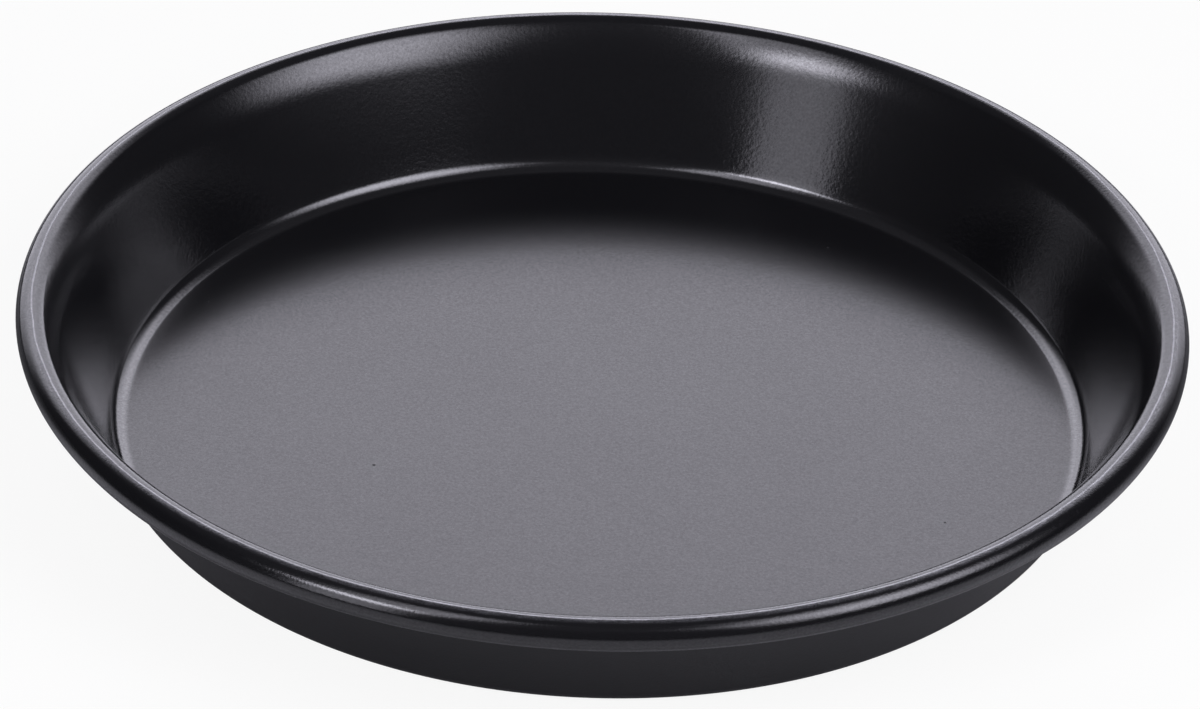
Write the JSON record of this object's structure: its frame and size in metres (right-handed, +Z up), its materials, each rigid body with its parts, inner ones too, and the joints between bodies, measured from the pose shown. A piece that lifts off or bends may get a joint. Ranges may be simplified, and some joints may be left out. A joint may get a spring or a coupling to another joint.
{
  "type": "pizza pan",
  "caption": "Round deep pizza pan with a flat floor, a leaning wall that flares at the top, and a full rolled rim over a wire.",
  "frame": {"origin": "centre of the flat underside, in the plane that the pan stands on", "axes": "+Z up along the pan's axis of roundness, out of the open top; +X to the right and +Y away from the viewer of the picture"},
  "size_m": [0.2799, 0.28, 0.036],
  "materials": {
    "nonstick_coat": "satin black non-stick coat with a fine orange peel, glossier inside than outside",
    "steel_wire": "drawn bright steel wire"
  },
  "bodies": {
    "root": {"pan_shell": "nonstick_coat", "rim_wire": "steel_wire"}
  },
  "joints": []
}
